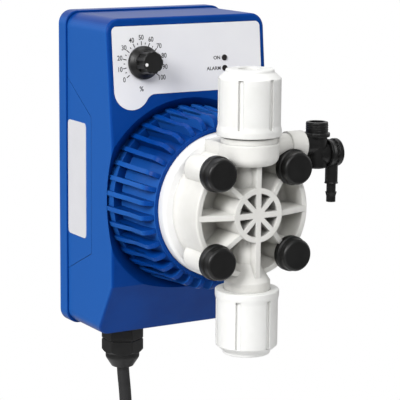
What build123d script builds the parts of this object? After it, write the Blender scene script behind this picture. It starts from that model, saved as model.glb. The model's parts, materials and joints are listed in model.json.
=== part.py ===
"""Solenoid-driven diaphragm metering pump for a wall, built as an assembly of separate pieces.

Millimetres. +X is to the right of someone facing the pump, +Z is up and the pump faces -Y.
The origin is the middle of the back, on the wall. "Depth" is the distance forward from the wall.
"""
import os
from math import atan2, cos, degrees, pi, radians, sin, sqrt, tan

from build123d import *

# ---- casing ----
CASE_WIDTH = 107.0          # rear cover, side to side
CASE_HEIGHT = 188.0         # rear cover, top to bottom
CASE_ROUND = 8.0            # corner radius seen from the front
COVER_DEPTH = 9.0           # rim of the rear cover
COVER_PROUD = 1.2           # step from the cover's rim down to the housing
COVER_PLATE = 3.0           # back plate of the cover
WALL = 3.1                  # housing wall
TOP_DEPTH = 57.2            # front face at the top edge
FACE_DEPTH = 64.2           # front face where it stands upright
FOOT_DEPTH = 45.0           # front edge of the underside
LEAN_HEIGHT = 71.0          # leaning part of the front face, down from the top
CHAMFER_HEIGHT = 32.5       # sloping part of the front face, up from the underside
EDGE_ROUND = 1.6            # edge between the front face and the sides
TONGUE = 2.3                # thickness of the lip that enters the cover
TONGUE_LENGTH = 4.0         # how far the lip enters the cover
PLAY = 0.2                  # free play between fixed casing pieces
TAB_TOP = 55.5              # side tab of the cover: heights of its corners
TAB_SHOULDER = 35.0
TAB_HEEL = -45.0
TAB_BOTTOM = -59.5
TAB_DEPTH = 38.8
LABEL_WIDTH, LABEL_HEIGHT, LABEL_THICK, LABEL_ROUND = 22.8, 68.0, 0.3, 2.5
LABEL_BACK_DEPTH, LABEL_TOP = 9.6, 30.6
COVER_SCREW_X, COVER_SCREW_Z = 41.5, 82.0
POST_R = 4.6                # screw posts inside the housing
COVER_SCREW_R, COVER_SCREW_LONG = 2.0, 14.0
MOUNT_X, MOUNT_Z = 70.0, 150.0      # pattern of the wall screws
MOUNT_HOLE_R, MOUNT_HOLE_DEEP = 2.1, 8.0
MOUNT_BOSS_R = 4.6

# ---- control panel on the leaning face ----
PANEL_WIDTH, PANEL_TOP, PANEL_BOTTOM = 98.2, 4.5, 43.5
PANEL_THICK, PANEL_RECESS = 1.2, 1.0
PANEL_ROUND, LOBE_R, LOBE_BOTTOM, LOBE_BLEND = 3.0, 11.3, 51.9, 6.5
KNOB_X, KNOB_DOWN = -30.3, 25.4
SKIRT_R, GRIP_R, KNOB_HEIGHT, SKIRT_HEIGHT = 9.5, 6.3, 12.6, 2.0
KNOB_GAP = 0.8              # knob above the panel
FLUTES, FLUTE_R = 9, 1.3
POINTER_R, POINTER_ARM = 0.95, 4.6
POINTER_ANGLE = 194.0       # direction of the pointer at rest, from +X towards the top
LED_X, LED_DOWN, LED_PITCH, LED_R = 24.0, 24.9, 6.1, 1.7
SHAFT_R = 3.0
POT_NECK_R = 4.5
BOARD_WIDTH, BOARD_TOP, BOARD_BOTTOM, BOARD_THICK, BOARD_BEHIND = 78.0, 17.0, 46.0, 1.6, 13.0
POT_SIZE, POT_THICK = 17.0, 7.4
RELAY_DOWN, RELAY_SIZE, RELAY_TALL = 35.0, 14.0, 12.0
CAPACITOR_DOWN, CAPACITOR_R, CAPACITOR_TALL = 38.0, 5.0, 14.0
TERMINAL_DOWN, TERMINAL_SIZE, TERMINAL_PITCH = 40.5, 9.0, 6.0

# ---- finned drum and the solenoid in it ----
HEAD_Z = -10.2              # height of the common axis of drum and head
DRUM_R, DRUM_FRONT, DRUM_ROUND = 50.5, 98.0, 6.3
DISH_R, DISH_DEPTH, DISH_EDGE = 59.0, 56.5, 7.0     # hollow ring round the foot of the drum
LIP_RUN, LIP_RISE = 9.0, 2.4        # slope on which that ring runs out onto the face
RIB_COUNT, RIB_THICK, POCKET_DEEP, POCKET_START, FLOOR_TURN = 36, 2.7, 5.2, 63.0, 86.0
RING_R = 44.0               # inner end of the pockets
SEAT_R, SEAT_DEEP = 41.8, 1.0
HOLLOW_R, HOLLOW_FRONT = 43.0, 90.5
PLATE_HOLE_R = 30.0
YOKE_R, YOKE_WALL, YOKE_PLATE, YOKE_BACK = 42.6, 3.6, 5.0, 52.0
POLE_R, POLE_BACK = 12.0, 78.0
BOBBIN_BORE, BOBBIN_WALL, BOBBIN_FLANGE, COIL_R = 13.1, 1.4, 1.6, 36.5
ARMATURE_R, ARMATURE_BACK = 12.9, 48.0
STROKE = 1.25
AIR_GAP = 1.5
ROD_R, ROD_PLAY = 4.0, 0.04
BUSH_R = 6.0
SPRING_R, SPRING_WIRE, SPRING_TURNS, SPRING_CUP, SPRING_CUP_R = 7.0, 0.5, 5, 7.0, 8.6

# ---- pump head ----
FLANGE_R, FLANGE_THICK, FLANGE_ROUND, FLANGE_BORE = 41.5, 7.0, 2.0, 25.0
HEAD_R, HEAD_BASE, HEAD_RIM_DEPTH, HEAD_FRONT = 36.0, 8.0, 131.0, 137.0
RIM_WALL = 3.3
HUB_R, HUB_RING_R, HUB_RING_WALL, SPOKE_DEEP = 3.6, 15.2, 3.1, 9.0
WEB_THICK, DIAGONAL_THICK = 3.3, 2.8
BOLT_SPACING = 48.8         # square pattern of the four head screws
BOSS_R, BOSS_START, BOSS_FRONT = 8.0, 111.0, 131.0
DIAPHRAGM_R, DIAPHRAGM_THICK, DIAPHRAGM_BEAD = 29.0, 2.0, 0.6
CHAMBER_R, CHAMBER_DEEP = 23.0, 3.0
INSERT_R, INSERT_THICK = 14.0, 4.0
HEAD_SCREW_R, HEAD_SCREW_HEAD_R, HEAD_SCREW_HEAD = 2.9, 4.9, 4.0
WASHER_R, WASHER_THICK = 6.0, 1.2
CAP_R, CAP_COLLAR, CAP_LIP_R, CAP_FRONT, CAP_WALL = 10.0, 3.2, 9.1, 140.0, 2.2

# ---- valves, measured along their own axis from the head's axis ----
VALVE_DEPTH = 126.0
CHANNEL_R, CHANNEL_END = 6.3, 27.0
PASSAGE_R, PASSAGE_AT = 2.5, 18.0
VALVE_BOSS_R, VALVE_BOSS_LOW, VALVE_BOSS_TOP = 16.7, 27.0, 39.3
COLLAR_R, COLLAR_TOP = 15.6, 42.3
NECK_R, NECK_TOP = 12.8, 52.0
FLARE_START, FLARE_END = 28.0, 38.0
GUSSET_HALF = 15.5
NUT_R, NUT_FLARE_R, NUT_BASE, NUT_SHOULDER, NUT_TOP, NUT_TIP_R = 17.3, 17.9, 43.0, 74.6, 79.6, 13.2
NUT_CAP, NUT_BORE = 3.2, 10.6
GROOVE_COUNT, GROOVE_WIDTH, GROOVE_DEEP, GROOVE_BASE, GROOVE_TURN = 6, 2.8, 1.5, 47.5, 18.0
SOCKET_R, SOCKET_DEEP = 9.8, 18.0
NIPPLE_FLANGE_R, NIPPLE_FLANGE, NIPPLE_R, NIPPLE_BORE, NIPPLE_TOP = 12.4, 3.0, 4.0, 2.6, 73.0
TUBE_HOLE_R = 6.35          # for a tube of 12 mm outside and 8 mm inside
CLAMP_R, CLAMP_BORE, CLAMP_BASE = 10.4, 6.05, 62.0
BALL_R, BALL_PLAY = 4.75, 0.06
SEAT_THICK, SEAT_BORE, SEAT_CONE = 5.0, 3.2, 2.0
CAGE_R, CAGE_BORE, CAGE_HEIGHT, CAGE_TOP = 9.5, 5.4, 11.0, 2.8
ORING, ORING_MIDDLE = 1.0, 7.4      # section radius and middle radius of the valve O-rings

# ---- bleed valve on the right of the discharge valve ----
BRANCH_UP, BRANCH_R, BRANCH_NECK_R, BRANCH_STEP, BRANCH_END = 35.4, 8.0, 7.0, 24.7, 34.4
BRANCH_BORE_R, BRANCH_BORE_UP = 1.8, 32.0
STEM_R, STEM_START = 5.0, 29.4
BARREL_X, BARREL_R, BARREL_LOW, BARREL_TOP = 44.9, 5.9, 21.4, 39.2
SPIGOT_COLLAR_R, SPIGOT_COLLAR, SPIGOT_R, SPIGOT_TOP, SPIGOT_BORE, SPIGOT_DEEP = 7.4, 2.3, 6.2, 47.6, 4.4, 12.0
BLEED_UP = 29.4             # axis of the bleed knob
BLEED_SEAT_R, BLEED_SEAT_END = 6.4, 50.6
BLEED_KNOB_R, BLEED_KNOB_END, BLEED_TIP_R = 8.6, 55.8, 7.4
BLEED_RIBS = 16
BLEED_DISC_R, BLEED_DISC_END = 7.9, 59.0
BLEED_NECK_R, BLEED_PLAY = 3.0, 0.05
NOZZLE_X, NOZZLE_R, NOZZLE_STEP, NOZZLE_TIP_R, NOZZLE_TIP, NOZZLE_BORE = 55.4, 3.6, 17.6, 2.65, 28.2, 1.4
BARB_R, BARB_BELOW, BARB_LONG = 3.3, 22.6, 2.4

# ---- cable gland, lead and plug ----
GLAND_X, GLAND_DEPTH = -25.5, 27.0
GLAND_FLATS, GLAND_COLLAR, GLAND_NUT_HEX, GLAND_NUT_DOME = 21.6, 8.6, 8.2, 8.6
GLAND_GAP, GLAND_THREAD_R, GLAND_DOME_R, GLAND_DOME_TIP_R = 0.5, 8.0, 10.2, 6.6
LOCKNUT_FLATS, LOCKNUT_THICK = 22.0, 4.0
GLAND_WASHER_THICK = 1.2
CORD_R = 3.7
CORD_ROUTE = [(-25.5, 27.0, -109.0), (-25.5, 27.0, -119.0), (-23.4, 27.0, -138.0),
              (-22.6, 27.0, -158.0), (-22.4, 27.0, -178.0), (-22.6, 27.0, -197.0)]
COIL_TURN_R = 43.7          # to the middle of the turns
COIL_BUNDLE_R = 11.8
COIL_Z = -209.5
STRAND_OUT = 8.0            # outermost turn from the middle of the bundle
TAIL_X, TAIL_DEPTH, TAIL_START, TAIL_END = -18.6, 33.9, -224.0, -268.0
PLUG_R, PLUG_BODY, PLUG_RELIEF, PLUG_RELIEF_R = 18.5, 34.0, 22.0, 5.6
PIN_R, PIN_LONG, PIN_SPACING = 2.4, 19.0, 19.0

# ---- worked out from the driving dimensions ----
HALF_W = CASE_WIDTH / 2 - COVER_PROUD
HALF_H = CASE_HEIGHT / 2 - COVER_PROUD
INNER_W = HALF_W - WALL
LEAN = degrees(atan2(FACE_DEPTH - TOP_DEPTH, LEAN_HEIGHT))
FLANGE_BACK = DRUM_FRONT
HEAD_BACK = FLANGE_BACK + FLANGE_THICK
HEAD_FLOOR = HEAD_BACK + HEAD_BASE
ARMATURE_FRONT = POLE_BACK - AIR_GAP
INSERT_BACK = HEAD_BACK - INSERT_THICK
RIM_RECESS = HEAD_BACK + DIAPHRAGM_THICK + DIAPHRAGM_BEAD
NUT_INNER = NECK_TOP + NIPPLE_FLANGE
BALL_UP = SEAT_THICK - SEAT_CONE - SEAT_BORE + (BALL_R + BALL_PLAY) * sqrt(2)
SEAT_HEIGHTS = (HEAD_Z + NECK_TOP - SOCKET_DEEP + 2 * ORING, HEAD_Z - NECK_TOP)
BOLTS = [(sx * BOLT_SPACING / 2, HEAD_Z + sz * BOLT_SPACING / 2) for sx in (-1, 1) for sz in (-1, 1)]

# Frames: local Y runs along the axis, local X is a radius.
HEAD_AXIS = Plane(origin=(0, 0, HEAD_Z), x_dir=(1, 0, 0), z_dir=(0, 0, -1))
UP_AXIS = Plane(origin=(0, -VALVE_DEPTH, HEAD_Z), x_dir=(1, 0, 0), z_dir=(0, -1, 0))
DOWN_AXIS = Plane(origin=(0, -VALVE_DEPTH, HEAD_Z), x_dir=(1, 0, 0), z_dir=(0, 1, 0))
# The leaning face: local X to the right, local Y up the face, local Z outwards.
FACE = Plane(origin=(0, -TOP_DEPTH, HALF_H), x_dir=(1, 0, 0),
             z_dir=(0, -cos(radians(LEAN)), sin(radians(LEAN))))


def box(x0, x1, depth0, depth1, z0, z1):
    """Box between two sides, two depths and two heights."""
    middle = Pos((x0 + x1) / 2, -(depth0 + depth1) / 2, (z0 + z1) / 2)
    return middle * Box(abs(x1 - x0), abs(depth1 - depth0), abs(z1 - z0))


def rod(radius, start, end):
    """Round bar between two points given as (x, depth, z)."""
    a = Vector(start[0], -start[1], start[2])
    b = Vector(end[0], -end[1], end[2])
    return Solid.make_cylinder(radius, (b - a).length, Plane(origin=a, z_dir=b - a))


def tube(outer, inner, start, end):
    """Round bar with a bore through it."""
    return rod(outer, start, end) - rod(inner, start, end)


def lathe(points, frame, rounds=()):
    """Turned solid from (radius, distance along the axis) corners; rounds is [(corner, radius)]."""
    sketch = Polygon(*points, align=None)
    for corner, radius in rounds:
        at = Vector(*points[corner], 0)
        near = min(sketch.vertices(), key=lambda v: (Vector(*v) - at).length)
        sketch = fillet(near, radius)
    return revolve(frame * sketch, Axis(frame.origin, frame.y_dir), 360)


def axis_frame(x, depth, z, direction):
    """Frame whose local Y runs along the direction."""
    along = Vector(*direction)
    side = Vector(1, 0, 0) if abs(along.X) < 0.5 else Vector(0, 0, 1)
    return Plane(origin=(x, -depth, z), x_dir=side, z_dir=side.cross(along))


def hexagon(frame, flats, start, end, turn=0.0):
    """Six-sided bar along the frame's local Y."""
    across = Plane(origin=frame.origin + frame.y_dir * start, x_dir=frame.x_dir, z_dir=frame.y_dir)
    sketch = RegularPolygon(flats / 2, 6, major_radius=False, rotation=turn)
    return extrude(across * sketch, end - start)


def joined(parts):
    """One solid from overlapping pieces."""
    whole = parts[0]
    for part in parts[1:]:
        whole = whole + part
    return whole


def face_disc(radius, x, down, low, high):
    """Disc on the leaning face, between two heights above it."""
    centre = FACE.offset(low) * Pos(x, -down, 0)
    return extrude(centre * Circle(radius), high - low)


# ---------------------------------------------------------------- casing
def casing_profile():
    """Side view of the housing, as (depth, z)."""
    return Polygon((-30, HALF_H), (TOP_DEPTH, HALF_H), (FACE_DEPTH, HALF_H - LEAN_HEIGHT),
                   (FACE_DEPTH, CHAMFER_HEIGHT - HALF_H), (FOOT_DEPTH, -HALF_H), (-30, -HALF_H),
                   align=None)


def casing_block(inset, back):
    """Outer form of the housing, shrunk by the inset and open behind the back depth."""
    side_plane = Plane(origin=(0, 0, 0), x_dir=(0, -1, 0), z_dir=(-1, 0, 0))
    profile = offset(casing_profile(), -inset, kind=Kind.INTERSECTION) if inset else casing_profile()
    slab = extrude(side_plane * profile, HALF_W - inset, both=True)
    front = Plane(origin=(0, -back, 0), x_dir=(1, 0, 0), z_dir=(0, -1, 0))
    outline = RectangleRounded(2 * (HALF_W - inset), 2 * (HALF_H - inset), CASE_ROUND - inset)
    return slab & extrude(front * outline, FACE_DEPTH)


def front_edges(block):
    """Edges between the front faces and the sides, top and underside."""
    def is_front(edge):
        spot = edge.center()
        side = abs(abs(spot.X) - HALF_W) < 3 or abs(abs(spot.Z) - HALF_H) < 3
        return side and -spot.Y > FOOT_DEPTH - 1
    return [edge for edge in block.edges() if is_front(edge)]


def tab_outline(play):
    """Side tab of the cover, seen from the side, as (depth, z)."""
    return Polygon((COVER_DEPTH - 1, TAB_TOP + play), (TAB_DEPTH + play, TAB_SHOULDER + play),
                   (TAB_DEPTH + play, TAB_HEEL - play), (COVER_DEPTH - 1, TAB_BOTTOM - play),
                   align=None)


def side_tabs(play):
    """Both side tabs, as thick as the housing wall."""
    plane = Plane(origin=(-HALF_W, 0, 0), x_dir=(0, -1, 0), z_dir=(-1, 0, 0))
    tab = extrude(plane * tab_outline(play), WALL - PLAY + play, dir=(1, 0, 0))
    return [tab, mirror(tab, Plane.YZ)]


def screw_spots():
    """Where the cover's screws are, as (x, z)."""
    return [(sx * COVER_SCREW_X, sz * COVER_SCREW_Z) for sx in (-1, 1) for sz in (-1, 1)]


def rear_cover():
    """Back plate with a rim, two side tabs, and blind bosses for the wall screws."""
    outline = RectangleRounded(CASE_WIDTH, CASE_HEIGHT, CASE_ROUND)
    inner = RectangleRounded(2 * (INNER_W + PLAY), 2 * (HALF_H - WALL + PLAY), CASE_ROUND - WALL)
    back = Plane(origin=(0, 0, 0), x_dir=(1, 0, 0), z_dir=(0, -1, 0))
    cover = extrude(back * outline, COVER_DEPTH)
    cover = fillet(cover.faces().sort_by(Axis.Y)[0].outer_wire().edges(), 0.6)
    cover -= extrude(back.offset(COVER_PLATE) * inner, COVER_DEPTH)
    for tab in side_tabs(0):
        cover += tab
    for sx in (-1, 1):
        for sz in (-1, 1):
            x, z = sx * MOUNT_X / 2, sz * MOUNT_Z / 2
            cover += rod(MOUNT_BOSS_R, (x, 1, z), (x, MOUNT_HOLE_DEEP + 3, z))
            cover -= rod(MOUNT_HOLE_R, (x, -1, z), (x, MOUNT_HOLE_DEEP, z))
    for x, z in screw_spots():
        cover += rod(POST_R, (x, 1, z), (x, COVER_DEPTH, z))
        cover -= rod(COVER_SCREW_R + 0.3, (x, -1, z), (x, COVER_DEPTH + 1, z))
        cover -= rod(2 * COVER_SCREW_R, (x, -1, z), (x, COVER_PLATE, z))
    return cover


def drum():
    """Finned drum: ribs between square-ended pockets, over a rounded shoulder."""
    foot = DISH_DEPTH - WALL
    body = lathe([(0, foot), (DRUM_R, foot), (DRUM_R, DRUM_FRONT),
                  (RING_R, DRUM_FRONT), (RING_R, DRUM_FRONT + SEAT_DEEP), (SEAT_R, DRUM_FRONT + SEAT_DEEP),
                  (SEAT_R, DRUM_FRONT), (0, DRUM_FRONT)], HEAD_AXIS, [(2, DRUM_ROUND)])
    floor_r, beyond = DRUM_R - POCKET_DEEP, DRUM_FRONT + 10
    band = lathe([(floor_r, POCKET_START), (DRUM_R + 9, POCKET_START), (DRUM_R + 9, beyond),
                  (RING_R, beyond), (RING_R, DRUM_FRONT), (floor_r, FLOOR_TURN)], HEAD_AXIS)
    rib = box(RING_R - 5, DRUM_R + 12, POCKET_START - 5, beyond + 5, -RIB_THICK / 2, RIB_THICK / 2)
    ribs = []
    for index in range(RIB_COUNT):
        angle = 360 / RIB_COUNT * (index + 0.5)
        ribs.append(Pos(0, 0, HEAD_Z) * Rot(0, angle, 0) * rib)
    return body - (band - ribs)


def panel_outline(grow=0.0):
    """Panel seen square on: a rounded oblong with a round lobe at the lower left."""
    middle = -(PANEL_TOP + PANEL_BOTTOM) / 2
    plate = Pos(0, middle) * RectangleRounded(
        PANEL_WIDTH + 2 * grow, PANEL_BOTTOM - PANEL_TOP + 2 * grow, PANEL_ROUND + grow)
    lobe_x, lobe_y = LOBE_R - PANEL_WIDTH / 2, LOBE_R - LOBE_BOTTOM
    below = PANEL_BOTTOM + lobe_y + 1
    corner = Pos(lobe_x - LOBE_R / 2 - 1, lobe_y - below / 2) * Rectangle(LOBE_R + 2, below)
    outline = plate - corner + Pos(lobe_x, lobe_y) * Circle(LOBE_R + grow)
    rise = PANEL_BOTTOM + grow + lobe_y
    meeting = Vector(lobe_x + sqrt((LOBE_R + grow) ** 2 - rise ** 2), -PANEL_BOTTOM - grow)
    near = min(outline.vertices(), key=lambda vertex: (Vector(*vertex) - meeting).length)
    return fillet(near, LOBE_BLEND - grow)


def front_housing():
    """Housing shell with the lip, screw posts, hollow ring and finned drum."""
    shell = fillet(front_edges(casing_block(0, COVER_DEPTH)), EDGE_ROUND)
    shell -= casing_block(WALL, COVER_DEPTH - 1)
    lip_plane = Plane(origin=(0, -(COVER_DEPTH - TONGUE_LENGTH), 0), x_dir=(1, 0, 0), z_dir=(0, -1, 0))
    lip_width, lip_height = 2 * INNER_W, 2 * (HALF_H - WALL)
    lip = RectangleRounded(lip_width, lip_height, CASE_ROUND - WALL)
    lip -= RectangleRounded(lip_width - 2 * TONGUE, lip_height - 2 * TONGUE, CASE_ROUND - WALL - TONGUE)
    shell -= side_tabs(PLAY)
    shell += extrude(lip_plane * lip, 2 * TONGUE_LENGTH)
    for x, z in screw_spots():
        shell += rod(POST_R, (x, COVER_DEPTH, z), (x, FACE_DEPTH, z)) & casing_block(1, COVER_DEPTH)
    slope = (FACE_DEPTH - DISH_DEPTH) / (DISH_R - DRUM_R)
    shell += lathe([(HOLLOW_R, DISH_DEPTH - WALL), (DRUM_R + 1, DISH_DEPTH - WALL),
                    (DISH_R + 6, FACE_DEPTH + 5 * slope - WALL), (DISH_R + 6, FACE_DEPTH + 9),
                    (HOLLOW_R, FACE_DEPTH + 9)], HEAD_AXIS) & casing_block(0.5, COVER_DEPTH)
    shell -= lathe([(0, DISH_DEPTH), (DRUM_R, DISH_DEPTH), (DISH_R, FACE_DEPTH),
                    (DISH_R + LIP_RUN, FACE_DEPTH + LIP_RISE), (DISH_R + LIP_RUN, FACE_DEPTH + 9),
                    (0, FACE_DEPTH + 9)], HEAD_AXIS, [(2, DISH_EDGE)])
    shell += drum()
    shell -= rod(HOLLOW_R, (0, COVER_DEPTH, HEAD_Z), (0, HOLLOW_FRONT, HEAD_Z))
    shell -= rod(PLATE_HOLE_R, (0, HOLLOW_FRONT - 1, HEAD_Z), (0, DRUM_FRONT + 2, HEAD_Z))
    for x, z in BOLTS:
        shell -= rod(HEAD_SCREW_R + 0.2, (x, HOLLOW_FRONT - 1, z), (x, DRUM_FRONT + 2, z))
    for x, z in screw_spots():
        shell -= rod(COVER_SCREW_R, (x, COVER_DEPTH - 1, z), (x, COVER_DEPTH + 16, z))
    shell -= extrude(FACE.offset(-PANEL_RECESS) * panel_outline(PLAY / 2), PANEL_RECESS + 3)
    shell -= face_disc(POT_NECK_R + PLAY, KNOB_X, KNOB_DOWN, -12, 3)
    for down in (LED_DOWN, LED_DOWN + LED_PITCH):
        shell -= face_disc(LED_R + 0.1, LED_X, down, -12, 3)
    shell -= rod(GLAND_THREAD_R, (GLAND_X, GLAND_DEPTH, -HALF_H - 1),
                 (GLAND_X, GLAND_DEPTH, -HALF_H + WALL + 1))
    return shell


def cover_seal():
    """Flat rubber ring squeezed between the housing's lip and the cover."""
    plane = Plane(origin=(0, -COVER_PLATE, 0), x_dir=(1, 0, 0), z_dir=(0, -1, 0))
    width, height, round_r = 2 * INNER_W, 2 * (HALF_H - WALL), CASE_ROUND - WALL
    ring = RectangleRounded(width, height, round_r)
    ring -= RectangleRounded(width - 2 * TONGUE, height - 2 * TONGUE, round_r - TONGUE)
    return extrude(plane * ring, COVER_DEPTH - TONGUE_LENGTH - COVER_PLATE)


def cover_screws():
    """Four countersunk screws through the cover into the posts."""
    screws = []
    for x, z in screw_spots():
        frame = axis_frame(x, 0, z, (0, -1, 0))
        head_r, tip = 2 * COVER_SCREW_R, COVER_DEPTH + COVER_SCREW_LONG
        screws.append(lathe([(0, 0.6), (head_r - 0.2, 0.6), (head_r - 0.2, COVER_PLATE),
                             (COVER_SCREW_R, COVER_PLATE), (COVER_SCREW_R, tip), (0, tip + 2)], frame)
                      - box(x - 3, x + 3, 0, 1.6, z - 0.5, z + 0.5))
    return screws


def control_panel():
    """White panel plate in its recess, open for the knob's bearing and the lamps."""
    plate = extrude(FACE.offset(-PANEL_RECESS) * panel_outline(0), PANEL_THICK)
    plate -= face_disc(POT_NECK_R + PLAY, KNOB_X, KNOB_DOWN, -3, 3)
    for down in (LED_DOWN, LED_DOWN + LED_PITCH):
        plate -= face_disc(LED_R, LED_X, down, -3, 3)
    return plate


def side_label():
    """Blank rounded label on the left tab."""
    plane = Plane(origin=(-HALF_W, 0, 0), x_dir=(0, -1, 0), z_dir=(-1, 0, 0))
    centre = Pos(LABEL_BACK_DEPTH + LABEL_WIDTH / 2, LABEL_TOP - LABEL_HEIGHT / 2)
    outline = RectangleRounded(LABEL_WIDTH, LABEL_HEIGHT, LABEL_ROUND)
    return extrude(plane * centre * outline, LABEL_THICK, dir=(-1, 0, 0))


def lamp_lenses():
    """Two round lamps with a step behind the wall."""
    lenses = []
    for down in (LED_DOWN, LED_DOWN + LED_PITCH):
        lens = face_disc(LED_R, LED_X, down, -WALL - 4, PANEL_THICK - PANEL_RECESS + 0.5)
        lenses.append(lens + face_disc(LED_R + 0.6, LED_X, down, -WALL - 5, -WALL - 1))
    return lenses


def board_box(x0, x1, down0, down1, low, high):
    """Box set square to the leaning face."""
    centre = FACE * Pos((x0 + x1) / 2, -(down0 + down1) / 2, (low + high) / 2)
    return centre * Box(abs(x1 - x0), abs(down1 - down0), abs(high - low))


def circuit_board():
    """Board behind the panel on four stand-offs, with relays and capacitors."""
    half, top, bottom = BOARD_WIDTH / 2, BOARD_TOP, BOARD_BOTTOM
    back, face = -BOARD_BEHIND - BOARD_THICK, -BOARD_BEHIND
    board = board_box(-half, half, top, bottom, back, face)
    for x in (-15, half - 3):
        for down in (top + 3, bottom - 3):
            board += face_disc(2.6, x, down, face, -WALL)
    board += board_box(-9, 5, RELAY_DOWN - RELAY_SIZE / 2, RELAY_DOWN + RELAY_SIZE / 2,
                       back - RELAY_TALL, back)
    for x in (16, 30):
        board += face_disc(CAPACITOR_R, x, CAPACITOR_DOWN, back - CAPACITOR_TALL, back)
    for down in (LED_DOWN, LED_DOWN + LED_PITCH):
        board += face_disc(LED_R + 0.4, LED_X, down, face, -WALL - 5)
    board -= face_disc(POT_NECK_R + 1, KNOB_X, KNOB_DOWN, back - 1, face + 1)
    return board


def terminal_block():
    """Mains terminals on the back of the board."""
    back = -BOARD_BEHIND - BOARD_THICK
    half = TERMINAL_SIZE / 2
    block = board_box(-34, -16, TERMINAL_DOWN - half, TERMINAL_DOWN + half, back - TERMINAL_SIZE, back)
    for turn in (-1, 0, 1):
        block -= face_disc(1.6, TERMINAL_PITCH * turn - 25, TERMINAL_DOWN, back - TERMINAL_SIZE - 1, back - 4)
    return block


def dial_resistor():
    """Rotary resistor on the board, its threaded neck reaching through the panel."""
    body = board_box(KNOB_X - POT_SIZE / 2, KNOB_X + POT_SIZE / 2, KNOB_DOWN - POT_SIZE / 2,
                     KNOB_DOWN + POT_SIZE / 2, -BOARD_BEHIND, -BOARD_BEHIND + POT_THICK)
    body += face_disc(POT_NECK_R, KNOB_X, KNOB_DOWN, -BOARD_BEHIND, 0.4)
    return body - face_disc(SHAFT_R + ROD_PLAY, KNOB_X, KNOB_DOWN, -BOARD_BEHIND + 2, 3)


def dial_shaft():
    """Round shaft of the dial resistor."""
    return face_disc(SHAFT_R, KNOB_X, KNOB_DOWN, -BOARD_BEHIND + 2.2, KNOB_HEIGHT - 3)


def knob_frame():
    """Frame on the dial's axis: local Y points out of the panel."""
    spot = FACE.from_local_coords(Vector(KNOB_X, -KNOB_DOWN, 0))
    return Plane(origin=spot, x_dir=(1, 0, 0), z_dir=-FACE.y_dir)


def adjustment_knob():
    """Skirted knob with a fluted grip."""
    top = KNOB_GAP + KNOB_HEIGHT
    knob = lathe([(0, KNOB_GAP), (SKIRT_R, KNOB_GAP), (SKIRT_R, KNOB_GAP + SKIRT_HEIGHT),
                  (SKIRT_R - 1.5, KNOB_GAP + SKIRT_HEIGHT + 1.5), (GRIP_R + 0.6, KNOB_GAP + SKIRT_HEIGHT + 2.4),
                  (GRIP_R, top), (0, top)], knob_frame(), [(2, 0.6), (5, 0.7)])
    for index in range(FLUTES):
        angle = 2 * pi * (index + 0.5) / FLUTES
        arm = GRIP_R + 0.7
        knob -= face_disc(FLUTE_R, KNOB_X + arm * cos(angle), KNOB_DOWN - arm * sin(angle),
                          KNOB_GAP + SKIRT_HEIGHT + 2.8, top + 1)
    knob -= face_disc(SHAFT_R, KNOB_X, KNOB_DOWN, 0, KNOB_HEIGHT - 3)
    spot = pointer_spot()
    return knob - face_disc(POINTER_R, *spot, top - 0.6, top + 1)


def pointer_spot():
    """Place of the pointer dot on the face, as (x, distance down)."""
    angle = radians(POINTER_ANGLE)
    return KNOB_X + POINTER_ARM * cos(angle), KNOB_DOWN - POINTER_ARM * sin(angle)


def knob_pointer():
    """White dot let into the front of the knob."""
    top = KNOB_GAP + KNOB_HEIGHT
    return face_disc(POINTER_R, *pointer_spot(), top - 0.6, top + 0.15)


# ---------------------------------------------------------------- solenoid
def solenoid_yoke():
    """Steel cup round the coil."""
    cup = lathe([(POLE_R, HOLLOW_FRONT), (YOKE_R, HOLLOW_FRONT), (YOKE_R, YOKE_BACK),
                 (YOKE_R - YOKE_WALL, YOKE_BACK), (YOKE_R - YOKE_WALL, HOLLOW_FRONT - YOKE_PLATE),
                 (POLE_R, HOLLOW_FRONT - YOKE_PLATE)], HEAD_AXIS)
    for x, z in BOLTS:
        cup -= rod(HEAD_SCREW_R, (x, HOLLOW_FRONT - YOKE_PLATE - 1, z), (x, HOLLOW_FRONT + 1, z))
    return cup


def yoke_plate():
    """Steel washer that closes the cup behind the coil."""
    bore = BOBBIN_BORE
    return tube(YOKE_R, bore, (0, YOKE_BACK - 4, HEAD_Z), (0, YOKE_BACK, HEAD_Z))


def coil_bobbin():
    """Plastic spool of the coil."""
    back, front = YOKE_BACK, HOLLOW_FRONT - YOKE_PLATE
    rim = COIL_R + 1.5
    barrel = BOBBIN_BORE + BOBBIN_WALL
    return lathe([(BOBBIN_BORE, back), (rim, back), (rim, back + BOBBIN_FLANGE),
                  (barrel, back + BOBBIN_FLANGE), (barrel, front - BOBBIN_FLANGE),
                  (rim, front - BOBBIN_FLANGE), (rim, front), (BOBBIN_BORE, front)], HEAD_AXIS)


def coil_winding():
    """Copper winding on the spool."""
    start, end = YOKE_BACK + BOBBIN_FLANGE, HOLLOW_FRONT - YOKE_PLATE - BOBBIN_FLANGE
    return tube(COIL_R, BOBBIN_BORE + BOBBIN_WALL, (0, start, HEAD_Z), (0, end, HEAD_Z))


def pole_piece():
    """Fixed iron core with a pocket for the spring."""
    pole = rod(POLE_R, (0, POLE_BACK, HEAD_Z), (0, HOLLOW_FRONT, HEAD_Z))
    pole -= rod(SPRING_CUP_R, (0, POLE_BACK - 1, HEAD_Z), (0, POLE_BACK + SPRING_CUP, HEAD_Z))
    return pole - rod(BUSH_R, (0, POLE_BACK, HEAD_Z), (0, HOLLOW_FRONT + 1, HEAD_Z))


def rod_bushing():
    """Plain bearing of the push rod in the core."""
    start, end = POLE_BACK + SPRING_CUP, HOLLOW_FRONT + 2
    return tube(BUSH_R, ROD_R + ROD_PLAY, (0, start, HEAD_Z), (0, end, HEAD_Z))


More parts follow.
